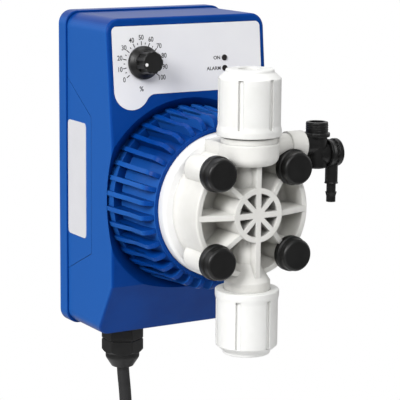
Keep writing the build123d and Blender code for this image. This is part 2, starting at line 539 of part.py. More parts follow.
def armature():
    """Moving iron core, bored for the push rod, with a pocket for the spring."""
    core = rod(ARMATURE_R, (0, ARMATURE_BACK, HEAD_Z), (0, ARMATURE_FRONT, HEAD_Z))
    core -= rod(SPRING_CUP_R, (0, ARMATURE_FRONT - SPRING_CUP, HEAD_Z), (0, ARMATURE_FRONT + 1, HEAD_Z))
    return core - rod(ROD_R, (0, ARMATURE_BACK + 10, HEAD_Z), (0, ARMATURE_FRONT, HEAD_Z))


def push_rod():
    """Rod from the armature to the diaphragm's insert."""
    return rod(ROD_R, (0, ARMATURE_BACK + 10, HEAD_Z), (0, INSERT_BACK, HEAD_Z))


def return_spring():
    """Coil spring between core and armature."""
    start, end = ARMATURE_FRONT - SPRING_CUP, POLE_BACK + SPRING_CUP
    length = end - start - 2 * SPRING_WIRE - 0.1
    pitch = length / SPRING_TURNS
    frame = Plane(origin=(0, -(start + SPRING_WIRE + 0.05), HEAD_Z), x_dir=(1, 0, 0), z_dir=(0, -1, 0))
    path = frame.location * Helix(pitch=pitch, height=length, radius=SPRING_R)
    section = Plane(origin=path @ 0, z_dir=path % 0) * Circle(SPRING_WIRE)
    return sweep(section, path=path, is_frenet=True)


def diaphragm_insert():
    """Metal disc that carries the diaphragm on the push rod."""
    return rod(INSERT_R, (0, INSERT_BACK, HEAD_Z), (0, HEAD_BACK, HEAD_Z))


def diaphragm():
    """Flexible disc clamped round its edge between flange and head."""
    disc = rod(DIAPHRAGM_R, (0, HEAD_BACK, HEAD_Z), (0, HEAD_BACK + DIAPHRAGM_THICK, HEAD_Z))
    return disc + tube(DIAPHRAGM_R, CHAMBER_R + 3, (0, HEAD_BACK, HEAD_Z), (0, RIM_RECESS, HEAD_Z))


# ---------------------------------------------------------------- pump head
def head_flange():
    """White ring between drum and pump head, with a weep hole underneath."""
    ring = lathe([(FLANGE_BORE, FLANGE_BACK), (FLANGE_R, FLANGE_BACK), (FLANGE_R, HEAD_BACK),
                  (FLANGE_BORE, HEAD_BACK)], HEAD_AXIS, [(2, FLANGE_ROUND)])
    middle = (FLANGE_BACK + SEAT_DEEP + HEAD_BACK) / 2
    ring -= rod(1.2, (0, middle, HEAD_Z - FLANGE_R - 1), (0, middle, HEAD_Z - FLANGE_BORE + 1))
    for x, z in BOLTS:
        ring -= rod(HEAD_SCREW_R + 0.2, (x, FLANGE_BACK - 1, z), (x, HEAD_BACK + 1, z))
    return ring


def web(reach, end_depth, thickness, angle):
    """Flat web through the head's axis, lower towards its outer ends."""
    flat = HUB_RING_R - HUB_RING_WALL / 2
    points = [(-reach, HEAD_FLOOR - 1), (-reach, end_depth), (-flat, HEAD_FRONT), (flat, HEAD_FRONT),
              (reach, end_depth), (reach, HEAD_FLOOR - 1)]
    plate = extrude(HEAD_AXIS * Polygon(*points, align=None), thickness / 2, both=True)
    return Pos(0, 0, HEAD_Z) * Rot(0, angle, 0) * Pos(0, 0, -HEAD_Z) * plate


def head_body():
    """Base, rim, hub ring with eight spokes, screw bosses and webs."""
    rim = lathe([(0, HEAD_BACK), (HEAD_R, HEAD_BACK), (HEAD_R, HEAD_RIM_DEPTH),
                 (HEAD_R - RIM_WALL, HEAD_RIM_DEPTH), (HEAD_R - RIM_WALL, HEAD_FLOOR), (0, HEAD_FLOOR)],
                HEAD_AXIS, [(2, 1.0), (4, 2.5)])
    hub_floor = HEAD_FRONT - SPOKE_DEEP
    ring_in = HUB_RING_R - HUB_RING_WALL
    ring = lathe([(0, HEAD_FLOOR - 1), (HUB_RING_R, HEAD_FLOOR - 1), (HUB_RING_R, HEAD_FRONT),
                  (ring_in, HEAD_FRONT), (ring_in, hub_floor), (0, hub_floor)], HEAD_AXIS)
    hub = rod(HUB_R, (0, hub_floor, HEAD_Z), (0, HEAD_FRONT, HEAD_Z))
    bosses = [rod(BOSS_R, (x, BOSS_START, z), (x, BOSS_FRONT, z)) for x, z in BOLTS]
    across = web(HEAD_R - RIM_WALL / 2, HEAD_RIM_DEPTH, WEB_THICK, 0)
    reach = BOLT_SPACING / sqrt(2) - BOSS_R / 2
    diagonals = [web(reach, BOSS_FRONT, DIAGONAL_THICK, angle) for angle in (45, -45)]
    return joined([rim, ring, hub, across] + diagonals + bosses)


def valve_body():
    """Upright channel, both valve necks and the branch for the bleed valve."""
    upright = box(-WEB_THICK / 2, WEB_THICK / 2, HEAD_FLOOR - 1, HEAD_FRONT,
                  HEAD_Z - FLARE_END + 1, HEAD_Z + VALVE_BOSS_LOW + 3)
    top = lathe([(0, VALVE_BOSS_LOW), (VALVE_BOSS_R, VALVE_BOSS_LOW), (VALVE_BOSS_R, VALVE_BOSS_TOP),
                 (COLLAR_R, VALVE_BOSS_TOP), (COLLAR_R, COLLAR_TOP), (NECK_R, COLLAR_TOP),
                 (NECK_R, NECK_TOP), (0, NECK_TOP)], UP_AXIS, [(1, 5.0), (2, 0.8)])
    low = lathe([(0, FLARE_START), (CHANNEL_R, FLARE_START), (NECK_R, FLARE_END), (NECK_R, NECK_TOP),
                 (0, NECK_TOP)], DOWN_AXIS)
    parts = [upright, top, low]
    for way, end in ((1, VALVE_BOSS_LOW + 2), (-1, FLARE_START + 2)):
        start, stop = HEAD_Z + way * (HUB_RING_R - 2), HEAD_Z + way * end
        parts.append(rod(CHANNEL_R, (0, VALVE_DEPTH, start), (0, VALVE_DEPTH, stop)))
        parts.append(box(-CHANNEL_R, CHANNEL_R, HEAD_FLOOR - 1, VALVE_DEPTH, start, stop))
    parts.append(box(-GUSSET_HALF, GUSSET_HALF, HEAD_BACK, VALVE_DEPTH,
                     HEAD_Z + VALVE_BOSS_LOW - 2, HEAD_Z + VALVE_BOSS_TOP))
    parts.append(box(-CHANNEL_R, CHANNEL_R, HEAD_BACK, VALVE_DEPTH,
                     HEAD_Z - FLARE_END, HEAD_Z - VALVE_BOSS_LOW + 2))
    branch_z = HEAD_Z + BRANCH_UP
    parts.append(rod(BRANCH_NECK_R, (10, VALVE_DEPTH, branch_z), (BRANCH_STEP + 1, VALVE_DEPTH, branch_z)))
    parts.append(rod(BRANCH_R, (BRANCH_STEP, VALVE_DEPTH, branch_z), (BRANCH_END, VALVE_DEPTH, branch_z)))
    return joined(parts)


def pump_head():
    """Moulded pump head with its chamber, passages, sockets and screw holes."""
    head = head_body() + valve_body()
    head -= rod(DIAPHRAGM_R, (0, HEAD_BACK - 1, HEAD_Z), (0, RIM_RECESS, HEAD_Z))
    head -= rod(CHAMBER_R, (0, HEAD_BACK, HEAD_Z), (0, RIM_RECESS + CHAMBER_DEEP, HEAD_Z))
    for way in (1, -1):
        top = HEAD_Z + way * NECK_TOP
        bottom = HEAD_Z + way * (NECK_TOP - SOCKET_DEEP)
        cross = HEAD_Z + way * PASSAGE_AT
        head -= rod(SOCKET_R, (0, VALVE_DEPTH, bottom), (0, VALVE_DEPTH, top + way))
        head -= rod(PASSAGE_R, (0, VALVE_DEPTH, cross), (0, VALVE_DEPTH, bottom + way))
        head -= rod(PASSAGE_R, (0, HEAD_BACK + 1, cross), (0, VALVE_DEPTH, cross))
    for x, z in BOLTS:
        head -= rod(HEAD_SCREW_R + 0.2, (x, HEAD_BACK - 1, z), (x, BOSS_FRONT + 1, z))
        head -= rod(CAP_R + PLAY, (x, BOSS_FRONT, z), (x, HEAD_FRONT + 9, z))
    branch_z, bore_z = HEAD_Z + BRANCH_UP, HEAD_Z + BRANCH_BORE_UP
    head -= rod(STEM_R, (STEM_START, VALVE_DEPTH, branch_z), (BRANCH_END + 1, VALVE_DEPTH, branch_z))
    return head - rod(BRANCH_BORE_R, (0, VALVE_DEPTH, bore_z), (STEM_START + 2, VALVE_DEPTH, bore_z))


def at_bolts(piece):
    """Copies of a piece made at x = z = 0, one at each head screw."""
    return [Pos(x, 0, z) * piece for x, z in BOLTS]


def head_screws():
    """Four socket screws through head, flange and drum into the yoke."""
    seat = BOSS_FRONT + WASHER_THICK
    frame = axis_frame(0, 0, 0, (0, -1, 0))
    screw = lathe([(0, HOLLOW_FRONT - YOKE_PLATE + 0.5), (HEAD_SCREW_R, HOLLOW_FRONT - YOKE_PLATE + 0.5),
                   (HEAD_SCREW_R, seat), (HEAD_SCREW_HEAD_R, seat),
                   (HEAD_SCREW_HEAD_R, seat + HEAD_SCREW_HEAD), (0, seat + HEAD_SCREW_HEAD)], frame)
    return at_bolts(screw - hexagon(frame, 4.0, seat + 1.5, seat + HEAD_SCREW_HEAD + 1))


def head_washers():
    """Washers under the screw heads."""
    return at_bolts(tube(WASHER_R, HEAD_SCREW_R + 0.1, (0, BOSS_FRONT, 0),
                         (0, BOSS_FRONT + WASHER_THICK, 0)))


def screw_caps():
    """Round two-step covers over the screw heads."""
    step = BOSS_FRONT + CAP_COLLAR
    cap = lathe([(WASHER_R + 0.2, BOSS_FRONT), (CAP_R, BOSS_FRONT), (CAP_R, step), (CAP_LIP_R, step + 0.5),
                 (CAP_LIP_R, CAP_FRONT), (0, CAP_FRONT), (0, CAP_FRONT - CAP_WALL),
                 (WASHER_R + 0.2, CAP_FRONT - CAP_WALL)], axis_frame(0, 0, 0, (0, -1, 0)),
                [(2, 0.6), (4, 1.8)])
    return at_bolts(cap)


# ---------------------------------------------------------------- valves
def union_nut(frame):
    """Round union nut with six long grooves, flared at its open end."""
    tip = NUT_TOP - 1.6
    nut = lathe([(NECK_R + 0.2, NUT_BASE), (NUT_FLARE_R, NUT_BASE), (NUT_FLARE_R, NUT_BASE + 3.2),
                 (NUT_R, NUT_BASE + 6), (NUT_R, NUT_SHOULDER), (NUT_TIP_R + 0.3, tip), (NUT_TIP_R, NUT_TOP),
                 (TUBE_HOLE_R, NUT_TOP), (TUBE_HOLE_R, NUT_TOP - NUT_CAP), (NUT_BORE, NUT_TOP - NUT_CAP),
                 (NUT_BORE, NUT_INNER), (NECK_R + 0.2, NUT_INNER)], frame, [(1, 0.6), (4, 0.8), (6, 0.8)])
    for index in range(GROOVE_COUNT):
        angle = GROOVE_TURN * frame.z_dir.Y + 360 / GROOVE_COUNT * index
        cutter = Pos(NUT_R + 3 - GROOVE_DEEP, (GROOVE_BASE + NUT_SHOULDER) / 2, 0) * Box(
            6, NUT_SHOULDER - GROOVE_BASE, GROOVE_WIDTH)
        nut -= frame.location * Rot(0, angle, 0) * cutter
    return nut


def hose_nipple(frame):
    """Flanged nipple for the tube, with two barbs."""
    stem = [(NIPPLE_BORE, NECK_TOP), (NIPPLE_FLANGE_R, NECK_TOP), (NIPPLE_FLANGE_R, NUT_INNER),
            (NIPPLE_R, NUT_INNER)]
    for barb in (NIPPLE_TOP - 10, NIPPLE_TOP - 5):
        stem += [(NIPPLE_R, barb), (NIPPLE_R + 0.5, barb), (NIPPLE_R, barb + 3)]
    stem += [(NIPPLE_R - 0.8, NIPPLE_TOP), (NIPPLE_BORE, NIPPLE_TOP)]
    groove_in, groove_out = ORING_MIDDLE - 1.2 * ORING, ORING_MIDDLE + 1.2 * ORING
    groove = lathe([(groove_in, NECK_TOP - 1), (groove_out, NECK_TOP - 1), (groove_out, NECK_TOP + 2 * ORING),
                    (groove_in, NECK_TOP + 2 * ORING)], frame)
    return lathe(stem, frame) - groove


def clamp_ring(frame):
    """Split-free ring that grips the tube inside the nut."""
    top = NUT_TOP - NUT_CAP
    return lathe([(CLAMP_BORE, CLAMP_BASE), (CLAMP_R - 1.5, CLAMP_BASE), (CLAMP_R, CLAMP_BASE + 4),
                  (CLAMP_R, top), (CLAMP_BORE, top)], frame)


def valve_frame(height):
    """Upright frame on the valve axis."""
    return Plane(origin=(0, -VALVE_DEPTH, height), x_dir=(1, 0, 0), z_dir=(0, -1, 0))


def valve_seat(height):
    """Seat disc with a conical rest for the ball."""
    cone_r = SEAT_BORE + SEAT_CONE
    return lathe([(SEAT_BORE, 0), (CAGE_R, 0), (CAGE_R, SEAT_THICK), (cone_r, SEAT_THICK),
                  (SEAT_BORE, SEAT_THICK - SEAT_CONE)], valve_frame(height))


def valve_cage(height):
    """Cage round the ball, with four openings in its top."""
    top = SEAT_THICK + CAGE_HEIGHT
    cage = lathe([(CAGE_BORE, SEAT_THICK), (CAGE_R, SEAT_THICK), (CAGE_R, top), (0, top),
                  (0, top - CAGE_TOP), (CAGE_BORE, top - CAGE_TOP)], valve_frame(height))
    for index in range(4):
        angle = pi / 2 * (index + 0.5)
        x, depth = 4.4 * cos(angle), VALVE_DEPTH + 4.4 * sin(angle)
        cage -= rod(1.6, (x, depth, height + SEAT_THICK + 5), (x, depth, height + top + 1))
    return cage


def valve_ball(height):
    """Ball just clear of its conical rest."""
    return Pos(0, -VALVE_DEPTH, height + BALL_UP) * Sphere(BALL_R)


def valve_rings():
    """O-rings behind each valve set and under each nipple."""
    places = [NECK_TOP - SOCKET_DEEP + ORING, NECK_TOP + ORING]
    heights = [HEAD_Z + way * place for way in (1, -1) for place in places]
    return [Pos(0, -VALVE_DEPTH, height) * Torus(ORING_MIDDLE, ORING) for height in heights]


# ---------------------------------------------------------------- bleed valve
def bleed_body():
    """Black fitting: stem into the branch, upright barrel, open threaded spigot, chest on the right."""
    branch_z, knob_z = HEAD_Z + BRANCH_UP, HEAD_Z + BLEED_UP
    body = rod(STEM_R, (STEM_START, VALVE_DEPTH, branch_z), (BARREL_X, VALVE_DEPTH, branch_z))
    body += rod(BARREL_R, (BRANCH_END, VALVE_DEPTH, branch_z), (BARREL_X, VALVE_DEPTH, branch_z))
    upright = axis_frame(BARREL_X, VALVE_DEPTH, HEAD_Z, (0, 0, 1))
    ledge = BARREL_TOP + SPIGOT_COLLAR
    body += lathe([(0, BARREL_LOW), (BARREL_R, BARREL_LOW), (BARREL_R, BARREL_TOP),
                   (SPIGOT_COLLAR_R, BARREL_TOP), (SPIGOT_COLLAR_R, ledge), (SPIGOT_R, ledge),
                   (SPIGOT_R, SPIGOT_TOP), (0, SPIGOT_TOP)], upright,
                  [(1, 1.5), (3, 0.5), (4, 0.5), (6, 0.5)])
    body += rod(BLEED_SEAT_R, (BARREL_X, VALVE_DEPTH, knob_z), (BLEED_SEAT_END, VALVE_DEPTH, knob_z))
    spigot_z = HEAD_Z + SPIGOT_TOP
    body -= rod(SPIGOT_BORE, (BARREL_X, VALVE_DEPTH, spigot_z - SPIGOT_DEEP),
                (BARREL_X, VALVE_DEPTH, spigot_z + 1))
    body -= rod(BRANCH_BORE_R, (STEM_START - 1, VALVE_DEPTH, branch_z), (BARREL_X, VALVE_DEPTH, branch_z))
    bore = BLEED_NECK_R + BLEED_PLAY
    return body - rod(bore, (BARREL_X + 1.2, VALVE_DEPTH, knob_z), (BLEED_SEAT_END + 1, VALVE_DEPTH, knob_z))


def bleed_knob():
    """Turning knob with a ribbed taper, an end disc and a hose nozzle."""
    knob_z = HEAD_Z + BLEED_UP
    frame = axis_frame(0, VALVE_DEPTH, knob_z, (1, 0, 0))
    start = BLEED_SEAT_END + 0.4
    knob = lathe([(0, BARREL_X + 1.8), (BLEED_NECK_R, BARREL_X + 1.8), (BLEED_NECK_R, start),
                  (BLEED_KNOB_R - 0.6, start), (BLEED_KNOB_R - 0.6, start + 1.2),
                  (BLEED_TIP_R - 0.6, BLEED_KNOB_END), (BLEED_DISC_R, BLEED_KNOB_END + 0.3),
                  (BLEED_DISC_R, BLEED_DISC_END), (0, BLEED_DISC_END)], frame, [(6, 0.3), (7, 0.8)])
    for index in range(BLEED_RIBS):
        angle = radians(360 / BLEED_RIBS * index)
        arm = BLEED_TIP_R - 0.8
        rib = rod(0.75, (start, VALVE_DEPTH + arm * cos(angle), knob_z + arm * sin(angle)),
                  (BLEED_KNOB_END + 0.3, VALVE_DEPTH + arm * cos(angle), knob_z + arm * sin(angle)))
        knob += rib
    down = axis_frame(NOZZLE_X, VALVE_DEPTH, knob_z, (0, 0, -1))
    knob += lathe([(0, 2), (NOZZLE_R, 2), (NOZZLE_R, NOZZLE_STEP - 1), (NOZZLE_R + 0.3, NOZZLE_STEP),
                   (NOZZLE_TIP_R, NOZZLE_STEP), (NOZZLE_TIP_R, BARB_BELOW), (BARB_R, BARB_BELOW),
                   (NOZZLE_TIP_R, BARB_BELOW + BARB_LONG), (NOZZLE_TIP_R, NOZZLE_TIP), (0, NOZZLE_TIP)], down)
    return knob - rod(NOZZLE_BORE, (NOZZLE_X, VALVE_DEPTH, knob_z - 6),
                      (NOZZLE_X, VALVE_DEPTH, knob_z - NOZZLE_TIP - 1))


# ---------------------------------------------------------------- gland, lead and plug
def gland_frame():
    """Frame on the gland's axis, pointing down from the underside."""
    return axis_frame(GLAND_X, GLAND_DEPTH, -HALF_H, (0, 0, -1))


def gland_body():
    """Hexagonal collar with a thread through the wall and a thread for the nut."""
    frame = gland_frame()
    low = GLAND_COLLAR + GLAND_GAP + 5
    body = hexagon(frame, GLAND_FLATS, GLAND_WASHER_THICK, GLAND_COLLAR, 30)
    body += lathe([(0, -WALL - LOCKNUT_THICK - 2), (GLAND_THREAD_R - 0.2, -WALL - LOCKNUT_THICK - 2),
                   (GLAND_THREAD_R - 0.2, low), (0, low)], frame)
    return body - lathe([(0, -20), (CORD_R + 1, -20), (CORD_R + 1, low + 1), (0, low + 1)], frame)


def gland_washer():
    """Flat seal between collar and casing."""
    return lathe([(GLAND_THREAD_R - 0.2, 0), (GLAND_FLATS / 2 - 0.6, 0),
                  (GLAND_FLATS / 2 - 0.6, GLAND_WASHER_THICK), (GLAND_THREAD_R - 0.2, GLAND_WASHER_THICK)],
                 gland_frame())


def gland_locknut():
    """Nut inside the casing."""
    frame = gland_frame()
    nut = hexagon(frame, LOCKNUT_FLATS, -WALL - LOCKNUT_THICK, -WALL, 30)
    return nut - lathe([(0, -20), (GLAND_THREAD_R - 0.2, -20), (GLAND_THREAD_R - 0.2, 1), (0, 1)], frame)


def gland_seal():
    """Rubber sleeve squeezed round the lead inside the nut."""
    top = GLAND_COLLAR + GLAND_GAP + 5
    return lathe([(CORD_R, top), (GLAND_THREAD_R - 0.2, top), (CORD_R + 1.4, top + 4.4), (CORD_R, top + 4.4)],
                 gland_frame())


def gland_nut():
    """Domed nut that closes the gland."""
    frame = gland_frame()
    top = GLAND_COLLAR + GLAND_GAP
    hex_end, tip = top + GLAND_NUT_HEX, top + GLAND_NUT_HEX + GLAND_NUT_DOME
    corner_r = GLAND_FLATS / sqrt(3)
    body = hexagon(frame, GLAND_FLATS, top, hex_end, 30)
    body += lathe([(0, hex_end - 1), (GLAND_DOME_R, hex_end - 1), (GLAND_DOME_R, hex_end + 3),
                   (GLAND_DOME_TIP_R, tip), (0, tip)], frame, [(2, 3.0)])
    body &= lathe([(0, top), (corner_r - 0.4, top), (corner_r, top + 0.8), (corner_r, hex_end - 1.6),
                   (GLAND_DOME_R, hex_end + 0.4), (GLAND_DOME_R, tip), (0, tip)], frame)
    inner = GLAND_THREAD_R - 0.2
    cone = top + 9.6
    return body - lathe([(0, top - 1), (inner, top - 1), (inner, top + 5), (CORD_R + 1.5, cone),
                         (CORD_R + 0.3, cone), (CORD_R + 0.3, tip + 1), (0, tip + 1)], frame)


def cord_path():
    """Route of the lead from the gland to the coil, with arcs as large as its runs allow."""
    points = [Vector(x, -depth, z) for x, depth, z in CORD_ROUTE]
    radii = []
    for before, corner, after in zip(points, points[1:], points[2:]):
        turn = radians((corner - before).get_angle(after - corner))
        shorter = min((corner - before).length, (after - corner).length)
        radii.append(0.45 * shorter / tan(turn / 2))
    print("lead arc radii:", [round(radius, 1) for radius in radii])
    return FilletPolyline(*points, radius=radii)


def power_cord():
    """Round mains lead from the gland down to the coil."""
    path = cord_path()
    section = Plane(origin=path @ 0, z_dir=path % 0) * Circle(CORD_R)
    lead = sweep(section, path=path)
    print("lead volume over section times length:", round(lead.volume / (pi * CORD_R ** 2 * path.length), 4))
    return lead


def coil_centre():
    """Middle of the tied coil, which the lead joins along its left side."""
    x, depth, _ = CORD_ROUTE[-1]
    return x + COIL_TURN_R + STRAND_OUT, depth, COIL_Z


def cord_coil():
    """Outer form of the tied coil."""
    x, depth, z = coil_centre()
    return Pos(x, -depth, z) * Rot(90, 0, 0) * Torus(COIL_TURN_R, COIL_BUNDLE_R)


def cord_tie():
    """Strap round the coil at its right."""
    x, depth, z = coil_centre()
    side = x + COIL_TURN_R
    return tube(COIL_BUNDLE_R + 1.6, COIL_BUNDLE_R + 0.3, (side, depth, z - 4), (side, depth, z + 4))


def cord_tail():
    """End of the lead between coil and plug."""
    return rod(CORD_R, (TAIL_X, TAIL_DEPTH, TAIL_START), (TAIL_X, TAIL_DEPTH, TAIL_END))


def plug_frame():
    """Frame on the plug's axis, pointing down from its strain relief."""
    return axis_frame(TAIL_X, TAIL_DEPTH, TAIL_END, (0, 0, -1))


def plug_body():
    """Moulded round plug with a ribbed strain relief."""
    end = PLUG_RELIEF + PLUG_BODY
    points = [(0, 0), (CORD_R + 1, 0)]
    for index in range(4):
        low = 2 + 5 * index
        points += [(PLUG_RELIEF_R + 0.3 * index, low), (PLUG_RELIEF_R + 0.3 * index, low + 2.6),
                   (CORD_R + 1.2, low + 2.6)]
        points.append((CORD_R + 1.2, low + 4.6))
    points += [(CORD_R + 4, PLUG_RELIEF), (PLUG_R - 3, PLUG_RELIEF + 12), (PLUG_R, PLUG_RELIEF + 18),
               (PLUG_R, end), (0, end)]
    return lathe(points, plug_frame())


def plug_pins():
    """Two round contact pins."""
    frame = plug_frame()
    end = PLUG_RELIEF + PLUG_BODY
    pin = lathe([(0, end), (PIN_R, end), (PIN_R, end + PIN_LONG), (0, end + PIN_LONG)], frame, [(2, 1.6)])
    return [Pos(side * PIN_SPACING / 2, 0, 0) * pin for side in (-1, 1)]


# ---------------------------------------------------------------- all nodes
def all_nodes():
    """Every node by name; a list is a group of separate solids."""
    nodes = {
        "rear_cover": rear_cover(), "front_housing": front_housing(), "cover_seal": cover_seal(),
        "cover_screws": cover_screws(), "control_panel": control_panel(), "side_label": side_label(),
        "lamp_lenses": lamp_lenses(), "circuit_board": circuit_board(),
        "terminal_block": terminal_block(), "dial_resistor": dial_resistor(), "dial_shaft": dial_shaft(),
        "adjustment_knob": adjustment_knob(), "knob_pointer": knob_pointer(),
        "solenoid_yoke": solenoid_yoke(), "yoke_plate": yoke_plate(), "coil_bobbin": coil_bobbin(),
        "coil_winding": coil_winding(), "pole_piece": pole_piece(), "rod_bushing": rod_bushing(),
        "armature": armature(), "push_rod": push_rod(), "return_spring": return_spring(),
        "diaphragm_insert": diaphragm_insert(), "diaphragm": diaphragm(),
        "head_flange": head_flange(), "pump_head": pump_head(), "head_screws": head_screws(),
        "head_washers": head_washers(), "screw_caps": screw_caps(), "valve_rings": valve_rings(),
        "bleed_body": bleed_body(), "bleed_knob": bleed_knob(),
        "gland_body": gland_body(), "gland_washer": gland_washer(), "gland_locknut": gland_locknut(),
        "gland_seal": gland_seal(), "gland_nut": gland_nut(), "power_cord": power_cord(),
        "cord_coil": cord_coil(), "cord_tie": cord_tie(), "cord_tail": cord_tail(),
        "plug_body": plug_body(), "plug_pins": plug_pins(),
    }
    for name, frame, height in (("discharge", UP_AXIS, SEAT_HEIGHTS[0]), ("suction", DOWN_AXIS, SEAT_HEIGHTS[1])):
        nodes[name + "_nut"] = union_nut(frame)
        nodes[name + "_nipple"] = hose_nipple(frame)
        nodes[name + "_clamp_ring"] = clamp_ring(frame)
        nodes[name + "_seat"] = valve_seat(height)
        nodes[name + "_cage"] = valve_cage(height)
        nodes[name + "_ball"] = valve_ball(height)
    return nodes


os.makedirs("parts", exist_ok=True)
for name, shape in all_nodes().items():
    if isinstance(shape, list):
        shape = Compound(children=shape)
    export_step(shape, f"parts/{name}.step")
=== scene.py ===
"""Looks of the diaphragm metering pump: finishes, panel printing, threads, mains lead, light and camera."""
import json
from math import atan2, cos, pi, radians, sin

import bmesh
import bpy
from mathutils import Matrix, Vector


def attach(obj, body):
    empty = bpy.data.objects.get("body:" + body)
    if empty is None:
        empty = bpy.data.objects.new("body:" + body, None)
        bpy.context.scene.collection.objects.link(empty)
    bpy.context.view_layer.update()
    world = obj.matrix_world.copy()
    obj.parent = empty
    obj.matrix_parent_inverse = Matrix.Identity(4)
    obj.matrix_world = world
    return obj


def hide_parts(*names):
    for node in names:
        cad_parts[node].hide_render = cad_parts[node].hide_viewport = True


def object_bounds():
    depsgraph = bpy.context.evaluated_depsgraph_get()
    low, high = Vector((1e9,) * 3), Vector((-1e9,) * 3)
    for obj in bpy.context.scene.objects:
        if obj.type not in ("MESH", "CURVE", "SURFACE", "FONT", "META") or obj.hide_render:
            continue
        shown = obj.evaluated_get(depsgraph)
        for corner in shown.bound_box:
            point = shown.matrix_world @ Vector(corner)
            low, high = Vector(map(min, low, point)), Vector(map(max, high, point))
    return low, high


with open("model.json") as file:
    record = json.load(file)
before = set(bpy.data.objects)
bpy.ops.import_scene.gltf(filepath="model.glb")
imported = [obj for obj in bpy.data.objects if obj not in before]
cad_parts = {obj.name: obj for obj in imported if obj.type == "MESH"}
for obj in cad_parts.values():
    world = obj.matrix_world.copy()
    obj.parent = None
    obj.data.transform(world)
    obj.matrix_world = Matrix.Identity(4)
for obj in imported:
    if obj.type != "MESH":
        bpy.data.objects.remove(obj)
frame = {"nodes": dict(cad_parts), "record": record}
cad_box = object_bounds()
MM = 0.001
SCENE = bpy.context.scene

# Places on the pump, in millimetres
HEAD_Z = -10.2              # height of the axis shared by drum and head
VALVE_DEPTH = 126.0         # upright axis of both valves
SPIGOT_X = 44.9
TOP_DEPTH, FACE_DEPTH, LEAN_HEIGHT, PANEL_TOP_Z = 57.2, 64.2, 71.0, 92.8
PANEL_FACE = 0.2            # front of the panel plate, above the leaning face
LEAN = atan2(FACE_DEPTH - TOP_DEPTH, LEAN_HEIGHT)


# ---------------------------------------------------------------- finishes
# Each call below gives a name, a light and a dark tint and the roughness, then in millimetres the
# width of the colour's clouds, the width and height of the grain and the rounding of the edges.
def linear(code):
    """Linear colour of an sRGB hex value."""
    parts = [int(code[i:i + 2], 16) / 255 for i in (0, 2, 4)]
    return tuple(c / 12.92 if c <= 0.04045 else ((c + 0.055) / 1.055) ** 2.4 for c in parts) + (1.0,)


def node(tree, kind, links=(), **settings):
    """Adds a shader node; a setting names an input or a property, a link is (output, input name)."""
    made = tree.nodes.new("ShaderNode" + kind)
    for key, value in settings.items():
        socket = key.replace("_", " ")
        if socket in made.inputs:
            made.inputs[socket].default_value = value
        else:
            setattr(made, key, value)
    for output, name in links:
        tree.links.new(output, made.inputs[name])
    return made


def per_metre(millimetres):
    """Texture scale whose features measure this many millimetres."""
    return 1 / (millimetres * MM)


GLOSS_SWING = 0.05          # how far the roughness of a surface wanders to either side


def surface(name, light, dark, rough, cloud, grain, relief, edge, hollow=0.0, stretch=(1, 1, 1), **shading):
    """Finish with clouded colour, uneven gloss, raised grain and rounded edges, all sized in millimetres.

    Where the reach of painted shade is set, corners and pockets narrower than it are darkened with painted
    shade.
    """
    material = bpy.data.materials.new(name)
    material.use_nodes = True
    tree = material.node_tree
    shader = tree.nodes["Principled BSDF"]
    for key, value in shading.items():
        shader.inputs[key.replace("_", " ")].default_value = value
    place = node(tree, "TexCoord")
    drawn = node(tree, "Mapping", [(place.outputs["Object"], "Vector")], Scale=stretch)
    spot = drawn.outputs["Vector"]
    clouds = node(tree, "TexNoise", [(spot, "Vector")], Scale=per_metre(cloud), Detail=4.0, Roughness=0.6)
    tint = node(tree, "ValToRGB", [(clouds.outputs["Fac"], "Fac")])
    for stop, position, code in zip(tint.color_ramp.elements, (0.38, 0.62), (dark, light)):
        stop.position, stop.color = position, linear(code)
    colour = tint.outputs["Color"]
    if hollow:
        # Painted shade: corners and pockets narrower than the reach are darkened in the colour itself, where
        # shade falls.
        depth = node(tree, "AmbientOcclusion", Distance=hollow * MM, samples=6)
        shade = node(tree, "MapRange", [(depth.outputs["AO"], "Value")],
                     From_Min=0.2, From_Max=0.8, To_Min=0.5)
        colour = node(tree, "MixRGB", [(colour, "Color1"), (shade.outputs["Result"], "Color2")],
                      blend_type="MULTIPLY", Fac=1.0).outputs["Color"]
    tree.links.new(colour, shader.inputs["Base Color"])
    gloss = node(tree, "MapRange", [(clouds.outputs["Fac"], "Value")],
                 To_Min=rough - GLOSS_SWING, To_Max=rough + GLOSS_SWING)
    tree.links.new(gloss.outputs["Result"], shader.inputs["Roughness"])
    pits = node(tree, "TexNoise", [(spot, "Vector")], Scale=per_metre(grain), Detail=2.0, Roughness=0.5)
    rounded = node(tree, "Bevel", Radius=edge * MM, samples=4)
    raised = node(tree, "Bump", [(pits.outputs["Fac"], "Height"), (rounded.outputs["Normal"], "Normal")],
                  Strength=0.6, Distance=relief * MM)
    tree.links.new(raised.outputs["Normal"], shader.inputs["Normal"])
    return material


